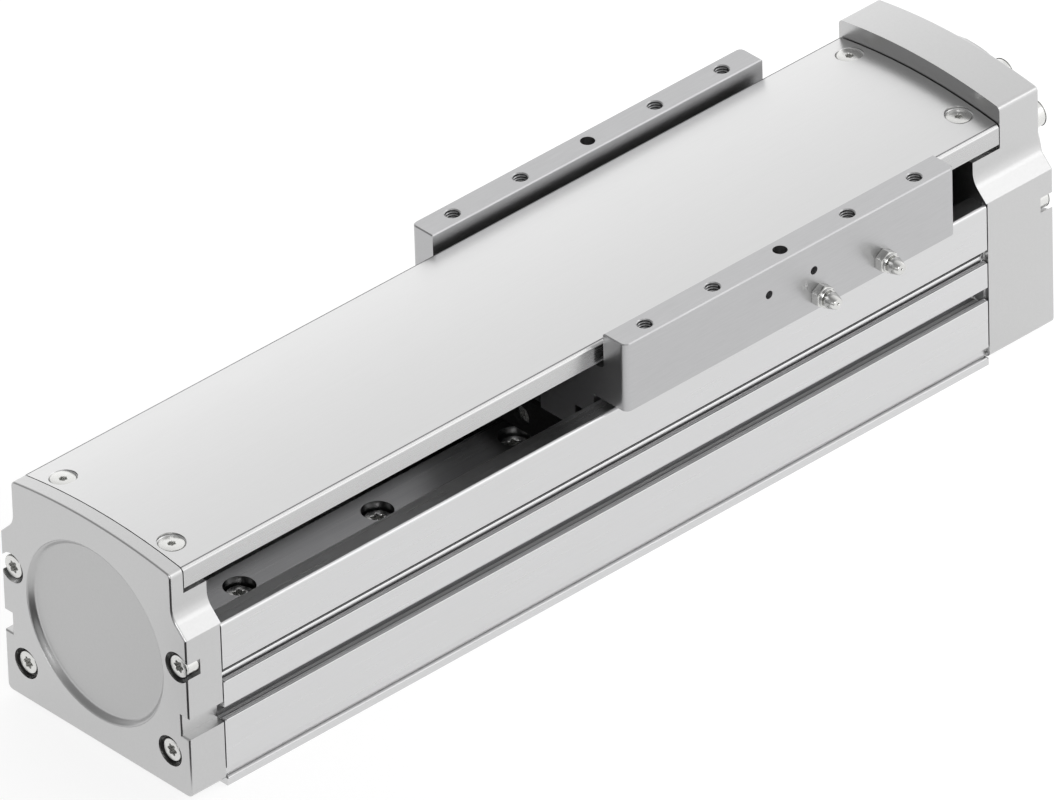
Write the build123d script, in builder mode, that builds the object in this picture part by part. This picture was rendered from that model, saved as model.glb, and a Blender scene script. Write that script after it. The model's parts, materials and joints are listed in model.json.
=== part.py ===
from build123d import *
from math import cos, radians, sin, sqrt
import os

os.makedirs("parts", exist_ok=True)

# Ball screw linear axis, shown with the slide at the drive end of its stroke.
# X runs along the travel towards the drive, Y across, Z up; the origin is the middle of the
# barrel's underside. All sizes are in millimetres.

# Travel
stroke = 150.0
end_reserve = 20.0

# Outer section
axis_width = 88.0
neck_width = 75.6
barrel_height = 62.3
cap_bottom = 2.2
shoulder_rise = 0.7
cap_corner_height = 85.2
arch_rise = 3.1
flare_radius = 7.7
cap_bottom_radius = 2.3
crown_edge_radius = 2.0
face_edge_radius = 0.7

# Barrel extrusion
upper_wall = 7.5
lower_wall = 16.5
wall_ledge_height = 54.0
floor_thickness = 9.5
rail_seat_rise = 1.5
rail_seat_width = 27.0
barrel_edge_radius = 1.2
t_slot_height = 27.78
t_slot_opening = 5.2
t_slot_inner_width = 9.2
t_slot_lip = 2.2
t_slot_depth = 7.5
sensor_slot_height = 42.5
sensor_slot_opening = 5.2
sensor_slot_step_depth = 2.7
sensor_slot_ledge = 2.3
sensor_slot_lip = 1.4
sensor_slot_depth = 5.6
sensor_slot_hook_height = 3.6
clamp_lip_height = 2.6
clamp_groove_height = 3.2
clamp_groove_depth = 2.1
clamp_flank_rise = 1.15

# End caps
end_cap_thickness = 15.1
end_cap_lip = 5.35
drive_cap_thickness = 30.2
drive_cap_step = 6.6
cover_overlap = 12.4
cover_ledge_height = 76.2
side_notch_bottom = 25.0
side_notch_height = 7.8
side_notch_depth = 3.7
disc_radius = 32.6
disc_height = 44.7
disc_depth = 2.0
disc_wall_run = 1.6
joint_gap = 0.5
joint_inset = 2.0
upper_screw_inset = 4.7
upper_screw_z = 51.0
lower_screw_inset = 9.7
lower_screw_z = 16.3
cap_screw_grip = 15.0
cap_counterbore_depth = 5.75

# Cover plate
cover_thickness = 3.5
cover_flange_thickness = 3.0
cover_flange_bottom = 77.9
cover_gap = 0.4
cover_screw_y = 25.7
cover_screw_inset = 6.0

# M4, M5 and M6 screws: shank radius, head radius, head height
m4_radius = 2.0
m4_head_radius = 3.5
m4_head_height = 4.0
m5_radius = 2.5
m5_head_radius = 4.25
m5_head_height = 5.0
m6_radius = 3.0
m6_head_radius = 5.0
m6_head_height = 6.0
hole_clearance = 0.3
head_clearance = 1.25
thread_clearance = 0.05
csk_head_radius = 4.45
csk_sink = 0.5
csk_head_clearance = 0.35
cover_screw_length = 14.0

# Guide rail, size 25
rail_width = 23.0
rail_height = 22.0
rail_top_chamfer = 1.8
rail_waist_depth = 2.6
rail_waist_bottom = 9.0
rail_waist_height = 7.5
rail_pitch = 60.0
rail_first_hole = 46.5
rail_end_gap = 1.0
rail_counterbore_radius = 5.5
rail_counterbore_depth = 9.0
rail_screw_length = 16.0

# Guide blocks, size 25, narrow and short
block_width = 48.0
block_height = 36.0
block_length = 59.0
block_rise = 5.5
block_end_length = 8.0
block_seal_thickness = 2.0
block_end_inset = 0.4
block_seal_inset = 0.2
block_screw_y = 17.5
block_screw_grip = 9.0
block_screw_depth = 8.5
block_edge_chamfer = 1.2
rail_running_gap = 0.4
port_radius = 3.65
port_screw_radius = 3.0
port_screw_length = 6.0
port_height = 39.4
port_sink = 1.2

# Ball screw and nut
screw_radius = 8.0
screw_block_clearance = 1.5
screw_tunnel_clearance = 1.5
nut_radius = 14.0
nut_length = 27.0
nut_flange_thickness = 8.0
nut_flange_radius = 24.0
nut_flange_half_height = 15.5
nut_bolt_circle_radius = 19.0
nut_bolt_angle = 30.0
nut_screw_length = 14.0
nut_bore_gap = 0.3
nut_seat_clearance = 0.05
wiper_radius = 11.0
wiper_thickness = 2.5
nut_housing_width = 51.0
nut_housing_drop = 16.5
nut_housing_screw_y = 20.5
nut_housing_screw_inset = 4.5
nut_housing_screw_length = 14.0
nut_pocket_clearance = 0.5
block_face_gap = 1.0

# Slide
slide_top = 76.4
slide_bottom_width = 52.0
slide_ledge_clearance = 2.0
slide_upper_width = 70.0
arm_clearance = 2.0
bar_inner_y = 40.2
bar_outer_y = 50.5
bar_top = 90.1
bar_end_radius = 2.3
bar_notch_radius = 2.0
bar_edge_chamfer = 0.4
slide_hole_pitch = 30.0
slide_hole_depth = 12.0
slide_hole_countersink_radius = 2.85
dowel_radius = 2.5
dowel_depth = 8.0
mark_hole_radius = 1.5
mark_hole_depth = 4.0
mark_hole_pitch = 20.0
mark_hole_height = 79.8

# Grease nipples on the bar at the -Y side
nipple_rise = 5.6
nipple_first = 12.0
nipple_second = 40.5
nipple_hex_radius = 4.1
nipple_hex_length = 3.2
nipple_collar_radius = 3.4
nipple_neck_radius = 1.7
nipple_head_radius = 3.0
nipple_tip_radius = 2.1
nipple_length = 9.0
nipple_stem_radius = 2.9
nipple_stem_length = 5.0

# Bearings
floating_bore_radius = 5.0
floating_outer_radius = 13.0
floating_width = 8.0
floating_ball_radius = 2.35
floating_ball_count = 7
fixed_bore_radius = 6.0
fixed_outer_radius = 16.0
fixed_width = 10.0
fixed_ball_radius = 2.9
fixed_ball_count = 9
ring_wall_share = 0.30
ball_gap = 0.05
bearing_side_gap = 0.4
circlip_thickness = 1.0
circlip_height = 1.8

# Bearing flange, lock nut and drive shaft
flange_thickness = 7.0
flange_radius = 33.0
flange_spigot_length = 2.0
flange_screw_inner_y = 8.5
flange_screw_inner_rise = 21.95
flange_screw_outer_y = 23.4
flange_screw_outer_rise = 13.1
flange_screw_length = 18.0
flange_edge_chamfer = 1.0
lock_nut_radius = 11.0
lock_nut_length = 6.0
lock_nut_gap = 1.0
seal_radius = 10.0
seal_thickness = 2.5
seal_lip_gap = 0.1
shaft_radius = 5.0
shaft_length = 30.0
shaft_shoulder_stand = 1.3
shaft_chamfer = 0.8

# Threads in the drive cap for a motor mounting kit
motor_thread_y = 32.0
motor_thread_z = 27.5
motor_thread_depth = 14.0

# End buffers
buffer_radius = 4.5
buffer_length = 10.0
buffer_y = 18.0
buffer_z = 70.5
buffer_stud_radius = 2.0
buffer_stud_length = 5.0

# Places that follow from the sizes above
slide_length = 2 * block_length + nut_length + 2 * block_face_gap
shoulder_height = barrel_height + shoulder_rise
arm_bottom = barrel_height + arm_clearance
nipple_height = arm_bottom + nipple_rise
barrel_length = stroke + slide_length + 2 * end_reserve
barrel_end = barrel_length / 2
half_width = axis_width / 2
upper_screw_y = half_width - upper_screw_inset
lower_screw_y = half_width - lower_screw_inset
neck_y = neck_width / 2
end_face = -barrel_end - end_cap_thickness
drive_face = barrel_end + drive_cap_thickness
slide_centre = stroke / 2
slide_near = slide_centre - slide_length / 2
slide_far = slide_centre + slide_length / 2
rail_bottom = floor_thickness + rail_seat_rise
rail_top = rail_bottom + rail_height
block_top = rail_bottom + block_height
screw_height = block_top + screw_block_clearance + screw_radius
nut_housing_bottom = screw_height - nut_housing_drop
nut_housing_top = screw_height + nut_flange_half_height
slide_shelf_height = wall_ledge_height + slide_ledge_clearance
arch_radius = (neck_y**2 + arch_rise**2) / (2 * arch_rise)
cover_crown = cap_corner_height + arch_rise
cover_start = end_face + end_cap_lip + cover_gap
cover_end = barrel_end + cover_overlap - cover_gap
screw_axis = Axis((0, 0, screw_height), (1, 0, 0))
shaft_plane = Plane(origin=(0, 0, screw_height), x_dir=(1, 0, 0), z_dir=(0, -1, 0))
fixed_shoulder = drive_face - flange_spigot_length - 2 * fixed_width
floating_shoulder = -barrel_end - bearing_side_gap


def arch_height(y, depth=0.0):
    """Height of the cover's arch at a distance y from the middle, lowered by a depth."""
    return cover_crown - arch_radius + sqrt((arch_radius - depth) ** 2 - y**2)


def save(part, name):
    """Label a finished piece and write it as its own file."""
    part.label = name
    export_step(part, "parts/" + name + ".step")


def cross_plane(x):
    """Plane across the axis at x, with Y to the right and Z up."""
    return Plane(origin=(x, 0, 0), x_dir=(0, 1, 0), z_dir=(1, 0, 0))


def end_plane(x, y, z, outward):
    """Seat of a screw that lies along X, with its head towards outward."""
    return Plane(origin=(x, y, z), x_dir=(0, 1, 0), z_dir=(outward, 0, 0))


def upright_plane(x, y, z):
    """Seat of a screw that stands along Z, head up."""
    return Plane(origin=(x, y, z))


def mirrored_places(y, z):
    """The two places left and right of the middle."""
    return [(-y, z), (y, z)]


def socket_screws(seats, shank, head, head_height, length):
    """Cap screws with hexagon sockets, one on each seat plane."""
    socket_radius = head * 0.52
    with BuildPart() as screws:
        with Locations(*seats):
            Cylinder(head, head_height, align=(Align.CENTER, Align.CENTER, Align.MIN))
            Cylinder(shank, length, align=(Align.CENTER, Align.CENTER, Align.MAX))
        with BuildSketch(*[seat.offset(head_height) for seat in seats]):
            RegularPolygon(radius=socket_radius, side_count=6)
        extrude(amount=-head_height / 2, mode=Mode.SUBTRACT)
    return screws.part


cap_screw_places = mirrored_places(upper_screw_y, upper_screw_z) + mirrored_places(
    lower_screw_y, lower_screw_z
)

# Barrel: extruded trough with a sensor slot, a T-slot and a clamping groove on each side
with BuildPart() as barrel:
    with BuildSketch(cross_plane(-barrel_end)):
        with Locations((0, barrel_height / 2)):
            Rectangle(axis_width, barrel_height)
        top_corners = vertices().group_by(Axis.Y)[-1]
        fillet(top_corners, barrel_edge_radius)
        with Locations((0, (wall_ledge_height + barrel_height) / 2)):
            Rectangle(
                axis_width - 2 * upper_wall,
                barrel_height - wall_ledge_height,
                mode=Mode.SUBTRACT,
            )
        with Locations((0, (floor_thickness + wall_ledge_height) / 2)):
            Rectangle(
                axis_width - 2 * lower_wall,
                wall_ledge_height - floor_thickness,
                mode=Mode.SUBTRACT,
            )
        with Locations((0, floor_thickness + rail_seat_rise / 2)):
            Rectangle(rail_seat_width, rail_seat_rise)
        for side in (-1, 1):
            with Locations((side * (half_width - t_slot_depth / 2), t_slot_height)):
                Rectangle(t_slot_depth, t_slot_opening, mode=Mode.SUBTRACT)
            with Locations((side * (half_width - (t_slot_lip + t_slot_depth) / 2), t_slot_height)):
                Rectangle(t_slot_depth - t_slot_lip, t_slot_inner_width, mode=Mode.SUBTRACT)
            with Locations((side * (half_width - sensor_slot_step_depth / 2), sensor_slot_height)):
                Rectangle(sensor_slot_step_depth, sensor_slot_opening, mode=Mode.SUBTRACT)
            hook_y = side * (half_width - (sensor_slot_lip + sensor_slot_depth) / 2)
            hook_bottom = sensor_slot_height - sensor_slot_opening / 2 + sensor_slot_ledge
            with Locations((hook_y, hook_bottom + sensor_slot_hook_height / 2)):
                Rectangle(
                    sensor_slot_depth - sensor_slot_lip,
                    sensor_slot_hook_height,
                    mode=Mode.SUBTRACT,
                )
            groove_y = side * (half_width - clamp_groove_depth)
            groove_top = clamp_lip_height + clamp_groove_height
            with BuildLine():
                Polyline(
                    (side * half_width, clamp_lip_height),
                    (groove_y, clamp_lip_height),
                    (groove_y, groove_top),
                    (side * half_width, groove_top + clamp_flank_rise),
                    close=True,
                )
            make_face(mode=Mode.SUBTRACT)
    extrude(amount=barrel_length)
    thread_seats = [end_plane(-barrel_end, y, z, -1) for y, z in cap_screw_places]
    thread_seats += [end_plane(barrel_end, y, z, 1) for y, z in cap_screw_places]
    with Locations(*thread_seats):
        Cylinder(
            m5_radius,
            cap_screw_grip + hole_clearance,
            align=(Align.CENTER, Align.CENTER, Align.MAX),
            mode=Mode.SUBTRACT,
        )
    rail_start = -barrel_end + rail_end_gap
    rail_length = barrel_length - 2 * rail_end_gap
    rail_hole_count = int((rail_length - rail_first_hole - m6_head_radius) // rail_pitch) + 1
    rail_holes = [-barrel_end + rail_first_hole + i * rail_pitch for i in range(rail_hole_count)]
    rail_screw_seat = rail_top - rail_counterbore_depth
    rail_screw_tip = rail_screw_seat - rail_screw_length
    with Locations(*[(x, 0, rail_bottom) for x in rail_holes]):
        Cylinder(
            m6_radius,
            rail_bottom - rail_screw_tip + hole_clearance,
            align=(Align.CENTER, Align.CENTER, Align.MAX),
            mode=Mode.SUBTRACT,
        )
save(barrel.part, "barrel")


def rail_outline(gap=0.0):
    """Half of the rail's section, widened by a gap, from its underside up."""
    y = rail_width / 2 + gap
    waist = y - rail_waist_depth
    waist_bottom = rail_bottom + rail_waist_bottom
    waist_top = waist_bottom + rail_waist_height
    top = rail_top + gap
    chamfer_y = y - rail_top_chamfer
    return [
        (0, rail_bottom - gap),
        (y, rail_bottom - gap),
        (y, waist_bottom),
        (waist, waist_bottom + rail_waist_depth),
        (waist, waist_top - rail_waist_depth),
        (y, waist_top),
        (y, top - rail_top_chamfer),
        (chamfer_y, top),
        (0, top),
    ]


# Guide rail with its counterbored holes
with BuildPart() as guide_rail:
    with BuildSketch(cross_plane(rail_start)):
        with BuildLine():
            Polyline(*rail_outline(), close=True)
        make_face()
        mirror(about=Plane.YZ)
    extrude(amount=rail_length)
    with Locations(*[(x, 0, rail_top) for x in rail_holes]):
        CounterBoreHole(
            m6_radius + hole_clearance, rail_counterbore_radius, rail_counterbore_depth
        )
save(guide_rail.part, "guide_rail")

rail_seats = [upright_plane(x, 0, rail_screw_seat) for x in rail_holes]
rail_shank = m6_radius - thread_clearance
save(
    socket_screws(rail_seats, rail_shank, m6_head_radius, m6_head_height, rail_screw_length),
    "rail_screws",
)


def cap_body(start, thickness, corner_height, front):
    """A cap's block: flared section with an arched top, front is the end that shows."""
    crown = corner_height + arch_rise
    flare_height = shoulder_height + half_width - neck_y
    with BuildPart() as cap:
        with BuildSketch(cross_plane(start)):
            with BuildLine():
                Polyline(
                    (-neck_y, corner_height),
                    (-neck_y, flare_height),
                    (-half_width, shoulder_height),
                    (-half_width, cap_bottom),
                    (half_width, cap_bottom),
                    (half_width, shoulder_height),
                    (neck_y, flare_height),
                    (neck_y, corner_height),
                )
                ThreePointArc((neck_y, corner_height), (0, crown), (-neck_y, corner_height))
            make_face()
            corners = vertices()
            fillet([v for v in corners if abs(v.Y - cap_bottom) < 0.01], cap_bottom_radius)
            corners = vertices()
            fillet([v for v in corners if abs(v.Y - flare_height) < 0.01], flare_radius)
            corners = vertices()
            fillet([v for v in corners if abs(v.Y - corner_height) < 0.01], crown_edge_radius)
        extrude(amount=thickness)
        if front < 0:
            notch_z = side_notch_bottom + side_notch_height / 2
            for side in (-1, 1):
                with Locations((start + thickness / 2, side * half_width, notch_z)):
                    Box(
                        thickness,
                        2 * side_notch_depth,
                        side_notch_height,
                        mode=Mode.SUBTRACT,
                    )
        outer_face = faces().sort_by(Axis.X)[0 if front < 0 else -1]
        fillet(outer_face.outer_wire().edges(), face_edge_radius)
    return cap.part


def cover_seat(ledge_start, ledge_length):
    """What is cut from a cap so that the cover plate lies flush on an arched seat."""
    seat_half = neck_y - cover_flange_thickness - cover_gap
    above = cover_crown + drive_cap_step + arch_rise
    with BuildPart() as seat:
        with BuildSketch(cross_plane(ledge_start)):
            with BuildLine():
                Polyline(
                    (-seat_half, arch_height(seat_half, cover_thickness)),
                    (-seat_half, cover_ledge_height),
                    (-half_width, cover_ledge_height),
                    (-half_width, above),
                    (half_width, above),
                    (half_width, cover_ledge_height),
                    (seat_half, cover_ledge_height),
                    (seat_half, arch_height(seat_half, cover_thickness)),
                )
                ThreePointArc(
                    (seat_half, arch_height(seat_half, cover_thickness)),
                    (0, arch_height(0, cover_thickness)),
                    (-seat_half, arch_height(seat_half, cover_thickness)),
                )
            make_face()
        extrude(amount=ledge_length)
    return seat.part


def joint_relief(joint_x, outward):
    """Narrow gap round the outside of a cap where it meets the barrel."""
    with BuildPart() as relief:
        with BuildSketch(cross_plane(joint_x)):
            with Locations((0, barrel_height / 2)):
                Rectangle(2 * axis_width, barrel_height + 2 * joint_inset)
            with Locations((0, (cap_bottom + joint_inset + shoulder_height) / 2)):
                Rectangle(
                    axis_width - 2 * joint_inset,
                    shoulder_height - cap_bottom - joint_inset,
                    mode=Mode.SUBTRACT,
                )
        extrude(amount=outward * joint_gap)
        with Locations((joint_x, 0, shoulder_height)):
            Box(
                2 * joint_gap,
                2 * axis_width,
                2 * (barrel_height + 2 * joint_inset - shoulder_height),
                align=(Align.CENTER, Align.CENTER, Align.MIN),
                mode=Mode.SUBTRACT,
            )
    return relief.part


cap_bore_radius = m5_radius + hole_clearance
cap_head_bore_radius = m5_head_radius + head_clearance
cover_screw_near = cover_start + cover_screw_inset
cover_screw_far = cover_end - cover_screw_inset - joint_gap
cover_screw_places = [
    (x, y) for x in (cover_screw_near, cover_screw_far) for y in (-cover_screw_y, cover_screw_y)
]
cover_seat_height = arch_height(cover_screw_y) - csk_sink
floating_bore_depth = floating_width + bearing_side_gap + circlip_thickness + bearing_side_gap
buffer_places = mirrored_places(buffer_y, buffer_z)


def cap_holes(front_x, outward):
    """Seats of the four cap screws on an outer face."""
    return [end_plane(front_x, y, z, outward) for y, z in cap_screw_places]


# End cap at the idle end: holds the floating bearing, carries the bare round disc
with BuildPart() as end_cap:
    add(cap_body(end_face, end_cap_thickness, cap_corner_height, -1))
    add(cover_seat(end_face + end_cap_lip, end_cap_thickness - end_cap_lip), mode=Mode.SUBTRACT)
    add(joint_relief(-barrel_end, -1), mode=Mode.SUBTRACT)
    with BuildSketch(Plane(origin=(end_face, 0, disc_height), x_dir=(0, 1, 0), z_dir=(-1, 0, 0))):
        Circle(disc_radius)
    with BuildSketch(
        Plane(origin=(end_face + disc_depth, 0, disc_height), x_dir=(0, 1, 0), z_dir=(-1, 0, 0))
    ):
        Circle(disc_radius - disc_wall_run)
    loft(mode=Mode.SUBTRACT)
    with Locations(*cap_holes(end_face, -1)):
        CounterBoreHole(cap_bore_radius, cap_head_bore_radius, cap_counterbore_depth)
    with Locations(end_plane(-barrel_end, 0, screw_height, 1)):
        Hole(floating_outer_radius, floating_bore_depth)
    with Locations(*[end_plane(-barrel_end, y, z, 1) for y, z in buffer_places]):
        Hole(buffer_stud_radius, buffer_stud_length)
    near_seats = [(x, y) for x, y in cover_screw_places if x < 0]
    with Locations(*[(x, y, cover_seat_height) for x, y in near_seats]):
        Hole(m5_radius, cover_screw_length + hole_clearance)
save(end_cap.part, "end_cap")

# Drive cap: holds the fixed bearing pair, a little taller than the cover
with BuildPart() as drive_cap:
    add(cap_body(barrel_end, drive_cap_thickness, cap_corner_height + drive_cap_step, 1))
    add(cover_seat(barrel_end, cover_overlap), mode=Mode.SUBTRACT)
    add(joint_relief(barrel_end, 1), mode=Mode.SUBTRACT)
    with Locations(*cap_holes(drive_face, 1)):
        CounterBoreHole(cap_bore_radius, cap_head_bore_radius, cap_counterbore_depth)
    with Locations(end_plane(drive_face, 0, screw_height, 1)):
        CounterBoreHole(
            screw_radius + screw_tunnel_clearance,
            fixed_outer_radius,
            2 * fixed_width + flange_spigot_length,
        )
    flange_places = [
        (side * y, screw_height + direction * rise)
        for y, rise in (
            (flange_screw_inner_y, flange_screw_inner_rise),
            (flange_screw_outer_y, flange_screw_outer_rise),
        )
        for side in (-1, 1)
        for direction in (-1, 1)
    ]
    flange_thread_depth = flange_screw_length - flange_thickness + hole_clearance
    with Locations(*[end_plane(drive_face, y, z, 1) for y, z in flange_places]):
        Hole(m6_radius, flange_thread_depth)
    motor_places = [
        (side * motor_thread_y, screw_height + step)
        for side in (-1, 1)
        for step in (-motor_thread_z, motor_thread_z)
    ]
    with Locations(*[end_plane(drive_face, y, z, 1) for y, z in motor_places]):
        Hole(m6_radius, motor_thread_depth)
    with Locations(*[end_plane(barrel_end, y, z, -1) for y, z in buffer_places]):
        Hole(buffer_stud_radius, buffer_stud_length)
    far_seats = [(x, y) for x, y in cover_screw_places if x > 0]
    with Locations(*[(x, y, cover_seat_height) for x, y in far_seats]):
        Hole(m5_radius, cover_screw_length + hole_clearance)
save(drive_cap.part, "drive_cap")

cap_shank = m5_radius - thread_clearance
end_seats = [
    end_plane(end_face + cap_counterbore_depth, y, z, -1) for y, z in cap_screw_places
]
end_screw_length = end_cap_thickness - cap_counterbore_depth + cap_screw_grip
save(
    socket_screws(end_seats, cap_shank, m5_head_radius, m5_head_height, end_screw_length),
    "end_cap_screws",
)
drive_seats = [
    end_plane(drive_face - cap_counterbore_depth, y, z, 1) for y, z in cap_screw_places
]
drive_screw_length = drive_cap_thickness - cap_counterbore_depth + cap_screw_grip
save(
    socket_screws(drive_seats, cap_shank, m5_head_radius, m5_head_height, drive_screw_length),
    "drive_cap_screws",
)

# Cover plate: arched sheet with flanged edges, countersunk for its four screws
with BuildPart() as cover_plate:
    flange_inner = neck_y - cover_flange_thickness
    with BuildSketch(cross_plane(cover_start)):
        with BuildLine():
            Polyline(
                (-neck_y, cap_corner_height),
                (-neck_y, cover_flange_bottom),
                (-flange_inner, cover_flange_bottom),
                (-flange_inner, arch_height(flange_inner, cover_thickness)),
            )
            ThreePointArc(
                (-flange_inner, arch_height(flange_inner, cover_thickness)),
                (0, arch_height(0, cover_thickness)),
                (flange_inner, arch_height(flange_inner, cover_thickness)),
            )
            Polyline(
                (flange_inner, arch_height(flange_inner, cover_thickness)),
                (flange_inner, cover_flange_bottom),
                (neck_y, cover_flange_bottom),
                (neck_y, cap_corner_height),
            )
            ThreePointArc((neck_y, cap_corner_height), (0, cover_crown), (-neck_y, cap_corner_height))
        make_face()
        corners = vertices()
        fillet([v for v in corners if abs(v.Y - cap_corner_height) < 0.01], crown_edge_radius)
    extrude(amount=cover_end - cover_start)
    sunk_radius = csk_head_radius + csk_head_clearance
    with Locations(*[(x, y, cover_seat_height) for x, y in cover_screw_places]):
        Cylinder(
            sunk_radius,
            2 * arch_rise,
            align=(Align.CENTER, Align.CENTER, Align.MIN),
            mode=Mode.SUBTRACT,
        )
        CounterSinkHole(m5_radius + hole_clearance, sunk_radius, counter_sink_angle=90)
save(cover_plate.part, "cover_plate")

# Countersunk cover screws
with BuildPart() as cover_screws:
    csk_seats = [upright_plane(x, y, cover_seat_height) for x, y in cover_screw_places]
    csk_depth = csk_head_radius - m5_radius + thread_clearance
    with Locations(*csk_seats):
        Cone(
            m5_radius - thread_clearance,
            csk_head_radius,
            csk_depth,
            align=(Align.CENTER, Align.CENTER, Align.MAX),
        )
        Cylinder(
            m5_radius - thread_clearance,
            cover_screw_length,
            align=(Align.CENTER, Align.CENTER, Align.MAX),
        )
    with BuildSketch(*csk_seats):
        RegularPolygon(radius=m5_radius * 0.7, side_count=6)
    extrude(amount=-csk_depth, mode=Mode.SUBTRACT)
save(cover_screws.part, "cover_screws")

# Slide: two bars outside the cover, joined under it by a bridge over the guide blocks
tunnel_radius = screw_radius + screw_tunnel_clearance
nut_start = slide_near + block_length + block_face_gap
nut_end = nut_start + nut_length
pocket_start = slide_near + block_length
pocket_end = slide_far - block_length
block_centres = (slide_near + block_length / 2, slide_far - block_length / 2)
housing_start = nut_start + nut_flange_thickness
housing_middle = (housing_start + nut_end) / 2
housing_screw_x = nut_end - nut_housing_screw_inset
block_screw_places = [(x, y) for x in block_centres for y in (-block_screw_y, block_screw_y)]
housing_screw_places = [(housing_screw_x, y) for y in (-nut_housing_screw_y, nut_housing_screw_y)]
slide_holes = [slide_centre + i * slide_hole_pitch for i in (-2, -1, 0, 1, 2)]
bar_middle = (bar_inner_y + bar_outer_y) / 2
nipple_places = [slide_centre + nipple_first, slide_centre + nipple_second]
with BuildPart() as slide_carriage:
    with BuildSketch(cross_plane(slide_near)):
        with BuildLine():
            Polyline(
                (0, screw_height + tunnel_radius),
                (0, slide_top),
                (bar_inner_y, slide_top),
                (bar_inner_y, bar_top),
                (bar_outer_y, bar_top),
                (bar_outer_y, arm_bottom),
                (slide_upper_width / 2, arm_bottom),
                (slide_upper_width / 2, slide_shelf_height),
                (slide_bottom_width / 2, slide_shelf_height),
                (slide_bottom_width / 2, block_top),
                (tunnel_radius, block_top),
                (tunnel_radius, screw_height),
            )
            RadiusArc(
                (tunnel_radius, screw_height), (0, screw_height + tunnel_radius), -tunnel_radius
            )
        make_face()
        corners = vertices()
        notch = [
            v
            for v in corners
            if abs(v.X - bar_inner_y) < 0.01 and abs(v.Y - slide_top) < 0.01
        ]
        fillet(notch, bar_notch_radius)
        mirror(about=Plane.YZ)
    extrude(amount=slide_length)
    bar_corners = [e for e in edges().filter_by(Axis.Z) if abs(abs(e.center().Y) - bar_outer_y) < 0.01]
    fillet(bar_corners, bar_end_radius)
    top_rims = faces().filter_by(Axis.Z).sort_by(Axis.Z)[-2:]
    chamfer(top_rims.edges(), bar_edge_chamfer)
    with Locations(((pocket_start + pocket_end) / 2, 0, block_top)):
        Box(
            pocket_end - pocket_start,
            nut_housing_width + 2 * nut_pocket_clearance,
            2 * (nut_housing_top - block_top),
            mode=Mode.SUBTRACT,
        )
    with Locations(*[(x, y, slide_top) for x, y in block_screw_places]):
        CounterBoreHole(
            m6_radius + hole_clearance,
            m6_head_radius + hole_clearance,
            slide_top - block_top - block_screw_grip,
        )
    with Locations(*[(x, y, slide_top) for x, y in housing_screw_places]):
        Hole(m5_radius + hole_clearance, slide_top - nut_housing_top)
    threaded = [x for x in slide_holes if abs(x - slide_centre) > slide_hole_pitch / 2]
    with Locations(*[(x, side * bar_middle, bar_top) for x in threaded for side in (-1, 1)]):
        CounterSinkHole(
            m5_radius, slide_hole_countersink_radius, slide_hole_depth, counter_sink_angle=90
        )
    with Locations((slide_centre, -bar_middle, bar_top), (slide_centre, bar_middle, bar_top)):
        Hole(dowel_radius, dowel_depth)
    nipple_seats = [
        Plane(origin=(x, -bar_outer_y, nipple_height), x_dir=(1, 0, 0), z_dir=(0, -1, 0))
        for x in nipple_places
    ]
    with Locations(*nipple_seats):
        Hole(nipple_stem_radius + thread_clearance, nipple_stem_length + hole_clearance)
    mark_seats = [
        Plane(
            origin=(slide_centre + step, -bar_outer_y, mark_hole_height),
            x_dir=(1, 0, 0),
            z_dir=(0, -1, 0),
        )
        for step in (-mark_hole_pitch / 2, mark_hole_pitch / 2)
    ]
    with Locations(*mark_seats):
        Hole(mark_hole_radius, mark_hole_depth)
save(slide_carriage.part, "slide_carriage")

# Grease nipples: hexagon, collar, neck and tapered head
with BuildPart() as grease_nipples:
    nipple_planes = [
        Plane(origin=(x, -bar_outer_y, nipple_height), x_dir=(1, 0, 0), z_dir=(0, -1, 0))
        for x in nipple_places
    ]
    with BuildSketch(*nipple_planes):
        RegularPolygon(radius=nipple_hex_radius, side_count=6)
    extrude(amount=nipple_hex_length)
    with Locations(*nipple_planes):
        Cylinder(
            nipple_stem_radius,
            nipple_stem_length,
            align=(Align.CENTER, Align.CENTER, Align.MAX),
        )
    neck_start = nipple_hex_length
    neck_length = nipple_length - nipple_hex_length
    with Locations(*[plane.offset(neck_start) for plane in nipple_planes]):
        Cylinder(nipple_collar_radius, neck_length / 4, align=(Align.CENTER, Align.CENTER, Align.MIN))
        Cylinder(nipple_neck_radius, neck_length / 2, align=(Align.CENTER, Align.CENTER, Align.MIN))
    with Locations(*[plane.offset(nipple_length - neck_length / 2) for plane in nipple_planes]):
        Cone(
            nipple_head_radius,
            nipple_tip_radius,
            neck_length / 2,
            align=(Align.CENTER, Align.CENTER, Align.MIN),
        )
save(grease_nipples.part, "grease_nipples")

# Screws that hold the slide on the blocks and the nut housing under the slide
block_seats = [upright_plane(x, y, block_top + block_screw_grip) for x, y in block_screw_places]
block_shank = m6_radius - thread_clearance
block_screw_length = block_screw_grip + block_screw_depth
save(
    socket_screws(block_seats, block_shank, m6_head_radius, m6_head_height, block_screw_length),
    "block_screws",
)
housing_seats = [upright_plane(x, y, slide_top) for x, y in housing_screw_places]
save(
    socket_screws(
        housing_seats, cap_shank, m5_head_radius, m5_head_height, nut_housing_screw_length
    ),
    "nut_housing_screws",
)


def block_section(start, length, inset):
    """A length of guide block section over the rail, set in from the steel's outline."""
    half = block_width / 2 - inset
    bottom = rail_bottom + block_rise + inset
    top = block_top - inset
    with BuildPart() as piece:
        with BuildSketch(cross_plane(start)):
            with Locations((0, (bottom + top) / 2)):
                Rectangle(2 * half, top - bottom)
            chamfer(vertices(), block_edge_chamfer)
            with BuildLine():
                Polyline(*rail_outline(rail_running_gap), close=True)
            make_face(mode=Mode.SUBTRACT)
            with BuildLine():
                Polyline(*[(-y, z) for y, z in rail_outline(rail_running_gap)], close=True)
            make_face(mode=Mode.SUBTRACT)
        extrude(amount=length)
    return piece.part


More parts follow.
